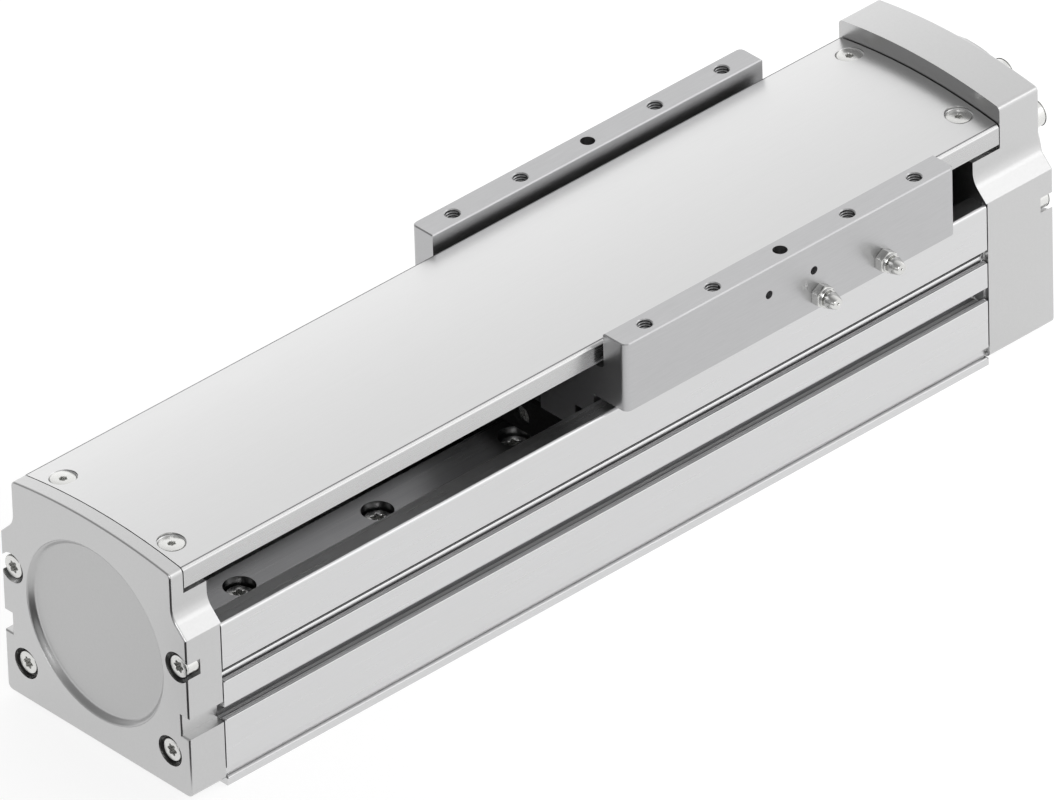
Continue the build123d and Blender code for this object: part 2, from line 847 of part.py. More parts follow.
# Guide blocks: steel body, two plastic end pieces with their seals, and a port screw
steel_length = block_length - 2 * (block_end_length + block_seal_thickness)
for name, centre, outward in (("idle", block_centres[0], -1), ("drive", block_centres[1], 1)):
    steel_start = centre - steel_length / 2
    with BuildPart() as block:
        add(block_section(steel_start, steel_length, 0))
        with Locations((centre, -block_screw_y, block_top), (centre, block_screw_y, block_top)):
            Hole(m6_radius, block_screw_depth + hole_clearance)
    save(block.part, "guide_block_" + name)

    port_x = centre + outward * block_length / 2
    port_plane = end_plane(port_x, 0, port_height, outward)
    with BuildPart() as ends:
        add(block_section(steel_start - block_end_length, block_end_length, block_end_inset))
        add(block_section(steel_start + steel_length, block_end_length, block_end_inset))
        with Locations(port_plane):
            Hole(port_screw_radius, block_end_length)
    save(ends.part, "block_ends_" + name)

    with BuildPart() as seals:
        seal_start = centre - block_length / 2
        add(block_section(seal_start, block_seal_thickness, block_seal_inset))
        add(
            block_section(
                seal_start + block_length - block_seal_thickness,
                block_seal_thickness,
                block_seal_inset,
            )
        )
        with Locations(port_plane):
            Hole(port_radius, block_seal_thickness)
    save(seals.part, "block_seals_" + name)

# Port screws close the lubrication ports in the outer ends of the blocks
with BuildPart() as port_screws:
    port_planes = [
        end_plane(slide_near + port_sink, 0, port_height, -1),
        end_plane(slide_far - port_sink, 0, port_height, 1),
    ]
    with Locations(*port_planes):
        Cylinder(
            port_screw_radius - thread_clearance,
            port_screw_length,
            align=(Align.CENTER, Align.CENTER, Align.MAX),
        )
    with BuildSketch(*port_planes):
        RegularPolygon(radius=port_screw_radius * 0.55, side_count=6)
    extrude(amount=-port_screw_length / 3, mode=Mode.SUBTRACT)
save(port_screws.part, "port_screws")

# Nut housing: hangs in the slide's pocket between the blocks
nut_bolt_places = [
    (
        nut_bolt_circle_radius * cos(radians(angle)),
        screw_height + nut_bolt_circle_radius * sin(radians(angle)),
    )
    for angle in (0, nut_bolt_angle, -nut_bolt_angle, 180, 180 - nut_bolt_angle, 180 + nut_bolt_angle)
]
with BuildPart() as nut_housing:
    with Locations((housing_middle, 0, (nut_housing_bottom + nut_housing_top) / 2)):
        Box(nut_end - housing_start, nut_housing_width, nut_housing_top - nut_housing_bottom)
    chamfer(edges().filter_by(Axis.X).group_by(Axis.Z)[0], block_edge_chamfer)
    with Locations(end_plane(housing_start, 0, screw_height, -1)):
        Hole(nut_radius + nut_seat_clearance)
    with Locations(*[end_plane(housing_start, y, z, -1) for y, z in nut_bolt_places]):
        Hole(m4_radius, nut_screw_length - nut_flange_thickness + m4_head_height + hole_clearance)
    housing_thread_depth = nut_housing_screw_length - (slide_top - nut_housing_top)
    with Locations(*[(x, y, nut_housing_top) for x, y in housing_screw_places]):
        Hole(m5_radius, housing_thread_depth + hole_clearance)
save(nut_housing.part, "nut_housing")

# Ball nut: cylinder with a flange flattened top and bottom, wiper seats at both ends
with BuildPart() as ball_nut:
    with BuildSketch(end_plane(nut_start, 0, screw_height, 1)):
        Circle(nut_flange_radius)
        Rectangle(2 * nut_flange_radius, 2 * nut_flange_half_height, mode=Mode.INTERSECT)
    extrude(amount=nut_flange_thickness)
    with BuildSketch(end_plane(nut_start, 0, screw_height, 1)):
        Circle(nut_radius)
    extrude(amount=nut_length)
    with Locations(end_plane(nut_start, 0, screw_height, -1)):
        Hole(screw_radius + nut_bore_gap)
    for seat_x, outward in ((nut_start, -1), (nut_end, 1)):
        with Locations(end_plane(seat_x, 0, screw_height, outward)):
            Hole(wiper_radius, wiper_thickness)
    with Locations(*[end_plane(nut_start, y, z, -1) for y, z in nut_bolt_places]):
        CounterBoreHole(
            m4_radius + hole_clearance,
            m4_head_radius + hole_clearance,
            m4_head_height,
            nut_flange_thickness,
        )
save(ball_nut.part, "ball_nut")

# Nut wipers
with BuildPart() as nut_wipers:
    for seat_x, inward in ((nut_start, 1), (nut_end, -1)):
        with BuildSketch(end_plane(seat_x, 0, screw_height, inward)):
            Circle(wiper_radius - thread_clearance)
            Circle(screw_radius + seal_lip_gap, mode=Mode.SUBTRACT)
        extrude(amount=wiper_thickness)
save(nut_wipers.part, "nut_wipers")

nut_seats = [end_plane(nut_start + m4_head_height, y, z, -1) for y, z in nut_bolt_places]
nut_shank = m4_radius - thread_clearance
save(
    socket_screws(nut_seats, nut_shank, m4_head_radius, m4_head_height, nut_screw_length),
    "nut_screws",
)

# Ball screw with its journals and the drive shaft
shaft_shoulder = drive_face + flange_thickness + shaft_shoulder_stand
journal_end = floating_shoulder - floating_width - circlip_thickness - bearing_side_gap / 2
shaft_end = drive_face + shaft_length
with BuildPart() as ball_screw:
    with BuildSketch(shaft_plane):
        with BuildLine():
            Polyline(
                (journal_end, 0),
                (journal_end, floating_bore_radius),
                (floating_shoulder, floating_bore_radius),
                (floating_shoulder, screw_radius),
                (fixed_shoulder, screw_radius),
                (fixed_shoulder, fixed_bore_radius),
                (shaft_shoulder, fixed_bore_radius),
                (shaft_shoulder, shaft_radius),
                (shaft_end - shaft_chamfer, shaft_radius),
                (shaft_end, shaft_radius - shaft_chamfer),
                (shaft_end, 0),
                close=True,
            )
        make_face()
    revolve(axis=screw_axis)
save(ball_screw.part, "ball_screw")


def bearing_ring(start, bore, outer, width, ball, inner_ring):
    """Inner or outer ring of a ball bearing, grooved for its balls."""
    wall = (outer - bore) * ring_wall_share
    radius = bore + wall / 2 if inner_ring else outer - wall / 2
    with BuildPart() as ring:
        with BuildSketch(shaft_plane):
            with Locations((start + width / 2, radius)):
                Rectangle(width, wall)
            with Locations((start + width / 2, (bore + outer) / 2)):
                Circle(ball + ball_gap, mode=Mode.SUBTRACT)
        revolve(axis=screw_axis)
    return ring.part


def bearing_balls(start, bore, outer, width, ball, count):
    """The balls of a bearing, evenly spaced."""
    with BuildPart() as balls:
        with Locations(end_plane(start + width / 2, 0, screw_height, 1)):
            with PolarLocations((bore + outer) / 2, count):
                Sphere(ball)
    return balls.part


# Floating bearing in the end cap, fixed bearing pair in the drive cap
floating_start = floating_shoulder - floating_width
floating_sizes = (floating_bore_radius, floating_outer_radius, floating_width, floating_ball_radius)
fixed_sizes = (fixed_bore_radius, fixed_outer_radius, fixed_width, fixed_ball_radius)
for name, start, sizes, count in (
    ("floating_bearing", floating_start, floating_sizes, floating_ball_count),
    ("fixed_bearing_inside", fixed_shoulder, fixed_sizes, fixed_ball_count),
    ("fixed_bearing_outside", fixed_shoulder + fixed_width, fixed_sizes, fixed_ball_count),
):
    save(bearing_ring(start, *sizes, inner_ring=False), name + "_outer_ring")
    save(bearing_ring(start, *sizes, inner_ring=True), name + "_inner_ring")
    save(bearing_balls(start, *sizes, count), name + "_balls")

# Retaining ring behind the floating bearing
with BuildPart() as retaining_ring:
    with BuildSketch(end_plane(floating_start, 0, screw_height, -1)):
        Circle(floating_bore_radius + circlip_height)
        Circle(floating_bore_radius, mode=Mode.SUBTRACT)
    extrude(amount=circlip_thickness)
save(retaining_ring.part, "retaining_ring")

# Lock nut that clamps the fixed bearing's inner rings
with BuildPart() as lock_nut:
    lock_nut_start = drive_face - flange_spigot_length
    with BuildSketch(end_plane(lock_nut_start, 0, screw_height, 1)):
        Circle(lock_nut_radius)
        Circle(fixed_bore_radius, mode=Mode.SUBTRACT)
        with PolarLocations(lock_nut_radius, 4):
            Rectangle(3, 3, mode=Mode.SUBTRACT)
    extrude(amount=lock_nut_length)
save(lock_nut.part, "lock_nut")

# Bearing flange clamps the outer rings and seats the shaft seal
flange_face = drive_face + flange_thickness
with BuildPart() as bearing_flange:
    with BuildSketch(shaft_plane):
        with BuildLine():
            Polyline(
                (lock_nut_start, lock_nut_radius + lock_nut_gap),
                (lock_nut_start, fixed_outer_radius - thread_clearance),
                (drive_face, fixed_outer_radius - thread_clearance),
                (drive_face, flange_radius),
                (flange_face - flange_edge_chamfer, flange_radius),
                (flange_face, flange_radius - flange_edge_chamfer),
                (flange_face, seal_radius),
                (flange_face - seal_thickness, seal_radius),
                (flange_face - seal_thickness, lock_nut_radius + lock_nut_gap),
                close=True,
            )
        make_face()
    revolve(axis=screw_axis)
    with Locations(*[end_plane(flange_face, y, z, 1) for y, z in flange_places]):
        Hole(m6_radius + hole_clearance, flange_thickness)
save(bearing_flange.part, "bearing_flange")

flange_seats = [end_plane(flange_face, y, z, 1) for y, z in flange_places]
flange_shank = m6_radius - thread_clearance
save(
    socket_screws(flange_seats, flange_shank, m6_head_radius, m6_head_height, flange_screw_length),
    "flange_screws",
)

# Shaft seal in the flange
with BuildPart() as shaft_seal:
    with BuildSketch(end_plane(flange_face, 0, screw_height, -1)):
        Circle(seal_radius)
        Circle(fixed_bore_radius + seal_lip_gap, mode=Mode.SUBTRACT)
    extrude(amount=seal_thickness)
save(shaft_seal.part, "shaft_seal")

# Rubber end buffers with their studs, two on each cap
with BuildPart() as end_buffers:
    for joint_x, inward in ((-barrel_end, 1), (barrel_end, -1)):
        with Locations(*[end_plane(joint_x, y, z, inward) for y, z in buffer_places]):
            Cylinder(buffer_radius, buffer_length, align=(Align.CENTER, Align.CENTER, Align.MIN))
            Cylinder(
                buffer_stud_radius - thread_clearance,
                buffer_stud_length - hole_clearance,
                align=(Align.CENTER, Align.CENTER, Align.MAX),
            )
save(end_buffers.part, "end_buffers")
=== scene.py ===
import json
from math import atan2, cos, pi, radians, sin

import bmesh
import bpy
from mathutils import Matrix, Vector


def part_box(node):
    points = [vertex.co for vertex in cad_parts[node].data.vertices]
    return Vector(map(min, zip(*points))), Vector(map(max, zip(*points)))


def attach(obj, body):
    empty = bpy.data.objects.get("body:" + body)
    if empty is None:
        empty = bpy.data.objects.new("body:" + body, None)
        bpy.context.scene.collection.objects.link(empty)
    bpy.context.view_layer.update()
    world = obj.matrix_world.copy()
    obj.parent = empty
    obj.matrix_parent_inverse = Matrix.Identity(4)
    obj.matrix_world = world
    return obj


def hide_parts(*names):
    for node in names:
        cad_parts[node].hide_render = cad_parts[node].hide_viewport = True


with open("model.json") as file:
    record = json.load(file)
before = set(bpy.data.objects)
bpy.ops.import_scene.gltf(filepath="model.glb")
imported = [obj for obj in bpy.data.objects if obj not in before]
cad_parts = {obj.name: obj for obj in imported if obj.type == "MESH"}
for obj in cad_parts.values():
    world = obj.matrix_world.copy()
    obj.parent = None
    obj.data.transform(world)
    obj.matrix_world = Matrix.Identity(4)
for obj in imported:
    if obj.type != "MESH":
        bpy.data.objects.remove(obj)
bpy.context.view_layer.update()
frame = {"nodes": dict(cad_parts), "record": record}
nodes = frame["nodes"]
print("stage 1: packed frame loaded,", len(nodes), "nodes")


def mm(*sizes):
    # sizes in millimetres as a vector in metres
    return Vector([size / 1000 for size in sizes])


def linearColour(hexCode):
    # sRGB hex to the linear colour that the shader wants
    parts = [int(hexCode[i:i + 2], 16) / 255 for i in (1, 3, 5)]
    return [p / 12.92 if p <= 0.04045 else ((p + 0.055) / 1.055) ** 2.4 for p in parts] + [1.0]


def addNode(tree, kind, settings=None, links=None):
    node = tree.nodes.new(kind)
    for name, value in (settings or {}).items():
        if isinstance(name, str) and hasattr(node, name):
            setattr(node, name, value)
        else:
            node.inputs[name].default_value = value
    for name, source in (links or {}).items():
        tree.links.new(source, node.inputs[name])
    return node


# grain is the pattern's size in millimetres along X, Y and Z: long in X for lines drawn by
# extruding or grinding, equal all round for blasting. Real lines and grit are about 0.1 mm apart,
# too fine for the render to show, so they are drawn 0.3 mm apart or more. Where finishes share a
# slot, the first is the one that dresses the slot's CAD nodes.
finishes = {
    "anodisedBarrel": {  # extruded aluminium, natural anodised: satin grey with faint lines along it
        "slot": "anodised_barrel", "light": "#d2d2d3", "dark": "#cfcfcf", "metallic": 1.0,
        "roughness": (0.27, 0.30), "grain": (60, 0.5, 0.5), "bump": 0.012, "detail": 3,
    },
    "blastedCap": {  # milled, bead blasted, anodised aluminium: even, softly grained grey
        "slot": "bead_blasted_caps", "light": "#c5c5c5", "dark": "#c2c2c2", "metallic": 1.0,
        "roughness": (0.275, 0.295), "grain": (0.9, 0.9, 0.9), "bump": 0.0015, "detail": 2,
    },
    "turnedDisc": {  # the cap's round recess, fine turned before anodising: a shade darker
        "slot": "bead_blasted_caps", "light": "#b9b9b9", "dark": "#b6b6b6", "metallic": 1.0,
        "roughness": (0.275, 0.295), "grain": (0.9, 0.9, 0.9), "bump": 0.0015, "detail": 2,
    },
    "anodisedCover": {  # drawn aluminium cover: the lightest, smoothest grey
        "slot": "anodised_cover", "light": "#d5d5d5", "dark": "#d3d3d3", "metallic": 1.0,
        "roughness": (0.29, 0.31), "grain": (14, 0.4, 0.4), "bump": 0.003, "detail": 2,
    },
    "coverEdgePaintedShade": {  # painted shade: the cover's edges, of the same sheet, in a darker copy of its grey that stands in for the duller light on its upright sides
        "slot": "anodised_cover", "light": "#c2c2c2", "dark": "#bfbfbf", "metallic": 1.0,
        "roughness": (0.26, 0.29), "grain": (14, 0.4, 0.4), "bump": 0.003, "detail": 2,
    },
    "anodisedSlide": {  # milled and anodised aluminium slide: a shade darker, silky
        "slot": "anodised_slide", "light": "#b9b9ba", "dark": "#b4b4b5", "metallic": 1.0,
        "roughness": (0.32, 0.36), "grain": (8, 0.4, 0.4), "bump": 0.006, "detail": 2,
    },
    "slotFloorPaintedShade": {  # painted shade: the slots' floors near the mouth, with die lines, in a grey darker than the barrel's; some light falls in, so this is the lighter of the two painted shades
        "slot": "anodised_barrel", "light": "#b4b4b5", "dark": "#a6a6a7", "metallic": 1.0,
        "roughness": (0.32, 0.40), "grain": (60, 0.3, 0.3), "bump": 0.03, "detail": 2,
    },
    "darkPaintedShade": {  # painted shade: a dark grey for the slots' floors deep inside, where hardly any light falls, for the strips over and under the ledge, and for the dark line along the cover's corner
        "slot": "anodised_barrel", "light": "#858586", "dark": "#767677", "metallic": 1.0,
        "roughness": (0.32, 0.42), "grain": (60, 0.3, 0.3), "bump": 0.03, "detail": 2,
    },
    "cutThread": {  # cut thread: a darker grey than the slide, with bright crests
        "slot": "anodised_slide", "light": "#a8a8a9", "dark": "#909091", "metallic": 1.0,
        "roughness": (0.25, 0.35), "grain": (1, 1, 1), "bump": 0.03, "detail": 2,
    },
    "groundRail": {  # induction hardened steel ground lengthwise: darker, with sharper lines
        "slot": "ground_rail_steel", "light": "#959596", "dark": "#8c8c8e", "metallic": 1.0,
        "roughness": (0.27, 0.32), "grain": (60, 0.4, 0.4), "bump": 0.012, "detail": 3,
    },
    "blockSteel": {  # hardened steel guide blocks, ground: middle grey with a dull sheen
        "slot": "block_steel", "light": "#8b8b8c", "dark": "#747476", "metallic": 1.0,
        "roughness": (0.28, 0.38), "grain": (20, 0.6, 0.6), "bump": 0.04, "detail": 3,
    },
    "zincScrew": {  # zinc plated screws: bright, slightly mottled
        "slot": "plated_screws", "light": "#dddddb", "dark": "#d8d8d6", "metallic": 1.0,
        "roughness": (0.24, 0.28), "grain": (1.2, 1.2, 1.2), "bump": 0.005, "detail": 3,
    },
    "nickelNipple": {  # nickel plated nipples: mirror bright
        "slot": "plated_nipples", "light": "#d8d8d6", "dark": "#c8c8c6", "metallic": 1.0,
        "roughness": (0.14, 0.20), "grain": (2, 2, 2), "bump": 0.01, "detail": 2,
    },
    "bearingSteel": {  # ground and polished bearing steel: clear, slightly streaked reflections
        "slot": "bearing_steel", "light": "#b4b4b6", "dark": "#9e9ea1", "metallic": 1.0,
        "roughness": (0.14, 0.24), "grain": (0.6, 3, 3), "bump": 0.02, "detail": 2,
    },
    "acetalBlack": {  # moulded acetal end pieces with a fine spark texture: dark grey plastic, lightened as painted light that stands in for the light reaching them in the side gaps
        "slot": "black_plastic", "light": "#626264", "dark": "#565658", "metallic": 0.0,
        "roughness": (0.42, 0.55), "grain": (0.5, 0.5, 0.5), "bump": 0.10, "detail": 4,
    },
    "nitrileBlack": {  # nitrile rubber seals and buffers: dull, nearly black
        "slot": "black_rubber", "light": "#171717", "dark": "#0f0f0f", "metallic": 0.0,
        "roughness": (0.62, 0.78), "grain": (0.9, 0.9, 0.9), "bump": 0.12, "detail": 4,
    },
}

# the pattern that all finishes share: the grain, with broad, faint clouds a few centimetres across
# that keep large faces from looking computed
pattern = {
    "grainRoughness": 0.55, "cloudsPerMetre": 22.0, "cloudDetail": 2.0, "cloudShare": 0.35,
    "tintRange": (0.40, 0.95), "roughRange": (0.3, 0.7), "bumpDistance": 0.0002,
}


def makeFinish(name, finish):
    material = bpy.data.materials.new(name)
    material.use_nodes = True
    tree = material.node_tree
    tree.nodes.clear()
    smoothest, roughest = finish["roughness"]
    place = addNode(tree, "ShaderNodeTexCoord")
    stretch = addNode(
        tree, "ShaderNodeMapping",
        {"Scale": [1000 / size for size in finish["grain"]]}, {"Vector": place.outputs["Object"]},
    )
    grain = addNode(
        tree, "ShaderNodeTexNoise",
        {"Scale": 1.0, "Detail": finish["detail"], "Roughness": pattern["grainRoughness"]},
        {"Vector": stretch.outputs[0]},
    )
    clouds = addNode(
        tree, "ShaderNodeTexNoise",
        {"Scale": pattern["cloudsPerMetre"], "Detail": pattern["cloudDetail"]},
        {"Vector": place.outputs["Object"]},
    )
    mixed = addNode(
        tree, "ShaderNodeMath", {"operation": "MULTIPLY_ADD", 1: pattern["cloudShare"]},
        {0: clouds.outputs["Fac"], 2: grain.outputs["Fac"]},
    )
    tint = addNode(
        tree, "ShaderNodeMapRange",
        {"From Min": pattern["tintRange"][0], "From Max": pattern["tintRange"][1]},
        {"Value": mixed.outputs[0]},
    )
    colour = addNode(
        tree, "ShaderNodeMix",
        {"data_type": "RGBA", 6: linearColour(finish["dark"]), 7: linearColour(finish["light"])},
        {0: tint.outputs[0]},
    )
    rough = addNode(
        tree, "ShaderNodeMapRange",
        {
            "From Min": pattern["roughRange"][0], "From Max": pattern["roughRange"][1],
            "To Min": roughest, "To Max": smoothest,
        },
        {"Value": grain.outputs["Fac"]},
    )
    bump = addNode(
        tree, "ShaderNodeBump", {"Strength": finish["bump"], "Distance": pattern["bumpDistance"]},
        {"Height": grain.outputs["Fac"]},
    )
    shader = addNode(
        tree, "ShaderNodeBsdfPrincipled", {"Metallic": finish["metallic"]},
        {"Base Color": colour.outputs[2], "Roughness": rough.outputs[0], "Normal": bump.outputs[0]},
    )
    addNode(tree, "ShaderNodeOutputMaterial", {}, {"Surface": shader.outputs[0]})
    return material


materials = {name: makeFinish(name, finish) for name, finish in finishes.items()}
slotMaterial = {}
for name, finish in finishes.items():
    slotMaterial.setdefault(finish["slot"], materials[name])

# every CAD node takes the finish of its slot in the record
for entry in frame["record"]["subparts"]:
    mesh = nodes[entry["node"]].data
    mesh.materials.clear()
    mesh.materials.append(slotMaterial[entry["material_slot"]])
print("stage 2:", len(materials), "finishes made")


def along(place, outward):
    # turns local +Z to the outward direction and moves it to a place, both in the row frame
    turn = Vector(outward).to_track_quat("Z", "Y").to_matrix().to_4x4()
    return Matrix.Translation(place) @ turn


def finishPiece(name, mesher, finishName, body, replaced=(), sharpAngle=32):
    bmesh.ops.recalc_face_normals(mesher, faces=mesher.faces)
    for face in mesher.faces:
        face.smooth = True
    for edge in mesher.edges:
        if len(edge.link_faces) == 2 and edge.calc_face_angle(0) > radians(sharpAngle):
            edge.smooth = False
    mesh = bpy.data.meshes.new(name)
    mesher.to_mesh(mesh)
    mesher.free()
    mesh.materials.append(materials[finishName])
    piece = bpy.data.objects.new(name, mesh)
    bpy.context.scene.collection.objects.link(piece)
    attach(piece, body)
    if replaced:
        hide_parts(*replaced)


def openProfile(part, profile):
    # joins (radius, height) points in millimetres to an open line beside local Z, ready to spin
    corners = [part.verts.new(mm(radius, 0, height)) for radius, height in profile]
    edges = [part.edges.new(pair) for pair in zip(corners, corners[1:])]
    return corners + edges


def turnedShape(profile, steps):
    # a profile turned once round local Z
    part = bmesh.new()
    bmesh.ops.spin(
        part, geom=openProfile(part, profile), cent=(0, 0, 0), axis=(0, 0, 1), angle=2 * pi,
        steps=steps, use_merge=True,
    )
    return part


def threadShape(profile, startHeight, rise, turns, stepsPerTurn):
    # a profile turned many times round local Z while it climbs by rise, in millimetres, each turn
    part = bmesh.new()
    line = openProfile(part, [(radius, startHeight + height) for radius, height in profile])
    bmesh.ops.spin(
        part, geom=line, cent=(0, 0, 0), axis=(0, 0, 1), angle=2 * pi * turns,
        steps=turns * stepsPerTurn, dvec=mm(0, 0, rise / stepsPerTurn),
    )
    return part


weldDistance = 0.000001  # metres; points nearer than this become one


def joinInto(target, part, transform=Matrix()):
    # adds a finished local shape to the piece's mesh at its place
    bmesh.ops.remove_doubles(part, verts=part.verts, dist=weldDistance)
    bmesh.ops.transform(part, matrix=transform, verts=part.verts)
    scratch = bpy.data.meshes.new("scratch")
    part.to_mesh(scratch)
    part.free()
    target.from_mesh(scratch)
    bpy.data.meshes.remove(scratch)


# what all screws share, in millimetres
screwForm = {
    "segments": 72, "lobes": 6,
    "edgeSteps": [(0.35, 0.7), (0.65, 0.3)],  # shares of the head's rounding, inwards and upwards
    "mouthDepth": 0.15, "mouthTaper": 0.93,  # the socket narrows just below its mouth
    "coneInset": 0.9, "coneDepth": 0.6,  # and ends in a cone
}


def screwShape(screw, length):
    # a screw standing on local Z with its head's top at 0, made outwards from the socket
    part = bmesh.new()
    bmesh.ops.create_circle(
        part, cap_ends=True, segments=screwForm["segments"], radius=screw["headRadius"] / 1000,
    )
    face = part.faces[:][0]
    if face.normal.z < 0:
        bmesh.ops.reverse_faces(part, faces=[face])
    edges = part.edges[:]
    edgeRound = screw["edgeRound"]
    for inwards, upwards in screwForm["edgeSteps"]:
        bmesh.ops.inset_region(
            part, faces=[face], thickness=edgeRound * inwards / 1000, use_boundary=True,
        )
        bmesh.ops.translate(part, vec=mm(0, 0, edgeRound * upwards), verts=face.verts)
    inset = screw["headRadius"] - edgeRound - screw["socketRadius"]
    bmesh.ops.inset_region(part, faces=[face], thickness=inset / 1000, use_boundary=True)
    for vert in face.verts:
        angle = atan2(vert.co.y, vert.co.x)
        radius = screw["socketRadius"] + screw["lobe"] * cos(screwForm["lobes"] * angle)
        vert.co.x, vert.co.y = radius * cos(angle) / 1000, radius * sin(angle) / 1000
    for sink, taper in (
        (screwForm["mouthDepth"], screwForm["mouthTaper"]), (screw["socketDepth"], 1),
    ):
        pushed = bmesh.ops.extrude_face_region(part, geom=[face])
        bottom = [f for f in pushed["geom"] if isinstance(f, bmesh.types.BMFace)][0]
        bmesh.ops.delete(part, geom=[face], context="FACES_ONLY")
        bmesh.ops.translate(part, vec=mm(0, 0, -sink), verts=bottom.verts)
        bmesh.ops.scale(part, vec=(taper, taper, 1), verts=bottom.verts)
        face = bottom
    bmesh.ops.inset_region(part, faces=[face], thickness=screwForm["coneInset"] / 1000)
    bmesh.ops.translate(part, vec=mm(0, 0, -screwForm["coneDepth"]), verts=face.verts)
    for radius, height in screw["outside"] + [(screw["shankRadius"], -length)]:
        grown = bmesh.ops.extrude_edge_only(part, edges=edges)
        ring = [v for v in grown["geom"] if isinstance(v, bmesh.types.BMVert)]
        edges = [e for e in grown["geom"] if isinstance(e, bmesh.types.BMEdge)]
        for vert in ring:
            angle = atan2(vert.co.y, vert.co.x)
            vert.co = mm(radius * cos(angle), radius * sin(angle), height)
    bmesh.ops.contextual_create(part, geom=edges)
    bmesh.ops.translate(part, vec=mm(0, 0, -edgeRound), verts=part.verts)
    return part


# socket screws with rounded heads, in their counterbores; radii and depths in millimetres
socketSizes = {
    "M5": {
        "headRadius": 4.25, "headHeight": 5.0, "shankRadius": 2.45, "socketRadius": 2.0,
        "socketDepth": 2.4, "lobe": 0.32, "edgeRound": 0.5,
    },
    "M6": {
        "headRadius": 5.0, "headHeight": 6.0, "shankRadius": 2.95, "socketRadius": 2.4,
        "socketDepth": 2.8, "lobe": 0.36, "edgeRound": 0.6,
    },
}
capCorners = [(39.3, 51.0), (-39.3, 51.0), (34.3, 16.3), (-34.3, 16.3)]  # Y and Z
screwSets = [
    {
        "name": "endCapScrews", "node": "end_cap_screws", "body": "base", "outward": (-1, 0, 0),
        "size": "M5", "places": capCorners,
    },
    {
        "name": "driveCapScrews", "node": "drive_cap_screws", "body": "base", "outward": (1, 0, 0),
        "size": "M5", "places": capCorners,
    },
    {  # Y and Z, an oval round the shaft
        "name": "flangeScrews", "node": "flange_screws", "body": "base", "outward": (1, 0, 0),
        "size": "M6", "places": [
            (side * y, 56.5 + rise)
            for y, rise in ((8.5, 21.95), (23.4, 13.1), (8.5, -21.95), (23.4, -13.1))
            for side in (-1, 1)
        ],
    },
    {  # X and Y
        "name": "railScrews", "node": "rail_screws", "body": "base", "outward": (0, 0, 1),
        "size": "M6", "places": [(-122, 0), (-62, 0), (-2, 0), (58, 0), (118, 0)],
    },
]

for screwSet in screwSets:
    screw = dict(socketSizes[screwSet["size"]])
    underHead = -screw["headHeight"] + screw["edgeRound"]
    screw["outside"] = [(screw["headRadius"], underHead), (screw["shankRadius"], underHead)]
    low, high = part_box(screwSet["node"])
    outward = Vector(screwSet["outward"])
    length = abs((high - low).dot(outward)) * 1000
    mesher = bmesh.new()
    for first, second in screwSet["places"]:
        if outward.z:
            place = Vector((first / 1000, second / 1000, high.z))
        else:
            place = Vector((high.x if outward.x > 0 else low.x, first / 1000, second / 1000))
        joinInto(mesher, screwShape(screw, length - screw["edgeRound"]), along(place, outward))
    finishPiece(screwSet["name"], mesher, "zincScrew", screwSet["body"], [screwSet["node"]])
print("stage 3: socket screws made")

# countersunk cover screws with a small, deep socket
coverScrew = {
    "node": "cover_screws", "headRadius": 4.45, "coneHeight": 2.5, "shankRadius": 2.4,
    "socketRadius": 1.35, "socketDepth": 1.8, "lobe": 0.12, "edgeRound": 0.3,
}
low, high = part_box(coverScrew["node"])
coverScrew["outside"] = [(coverScrew["shankRadius"], -coverScrew["coneHeight"])]
mesher = bmesh.new()
sideways = high.y * 1000 - coverScrew["headRadius"]
for x in (low.x * 1000 + coverScrew["headRadius"], high.x * 1000 - coverScrew["headRadius"]):
    for y in (-sideways, sideways):
        place = Vector((x / 1000, y / 1000, high.z))
        shape = screwShape(coverScrew, (high.z - low.z) * 1000 - coverScrew["edgeRound"])
        joinInto(mesher, shape, along(place, (0, 0, 1)))
finishPiece("coverScrews", mesher, "zincScrew", "base", [coverScrew["node"]])
print("stage 4: cover screws made")

# grease nipples: hexagon, collar, neck and a tapered head with its filling hole
nipple = {
    "node": "grease_nipples", "hexRadius": 4.1, "hexStart": 5.0, "hexLength": 3.2, "hexEdge": 0.25,
    "turnSteps": 48, "holeFloor": 12.6,
    "round": [  # radius and height above the bar
        (2.85, 0.0), (2.85, 5.0), (3.5, 8.2), (3.35, 8.3), (3.35, 9.3), (3.2, 9.5), (2.2, 9.6),
        (2.1, 9.7), (2.1, 10.3), (2.3, 10.4), (2.95, 10.5), (3.0, 10.7), (2.05, 13.75),
        (1.85, 14.0), (0.5, 14.0), (0.35, 13.8), (0.35, 13.0),
    ],
}
low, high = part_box(nipple["node"])
mesher = bmesh.new()
for x in (low.x + nipple["hexRadius"] / 1000, high.x - nipple["hexRadius"] / 1000):
    place = Vector((x, high.y, (low.z + high.z) / 2))
    profile = [(0, 0)] + nipple["round"] + [(0, nipple["holeFloor"])]
    joinInto(mesher, turnedShape(profile, nipple["turnSteps"]), along(place, (0, -1, 0)))
    part = bmesh.new()
    middle = nipple["hexStart"] + nipple["hexLength"] / 2
    bmesh.ops.create_cone(
        part, cap_ends=True, segments=6, radius1=nipple["hexRadius"] / 1000,
        radius2=nipple["hexRadius"] / 1000, depth=nipple["hexLength"] / 1000,
        matrix=Matrix.Translation(mm(0, 0, middle)),
    )
    bmesh.ops.bevel(
        part, geom=part.edges[:], offset=nipple["hexEdge"] / 1000, segments=2, profile=0.5,
        affect="EDGES", material=-1,
    )
    joinInto(mesher, part, along(place, (0, -1, 0)))
finishPiece("greaseNipples", mesher, "nickelNipple", "carriage", [nipple["node"]])
print("stage 5: grease nipples made")

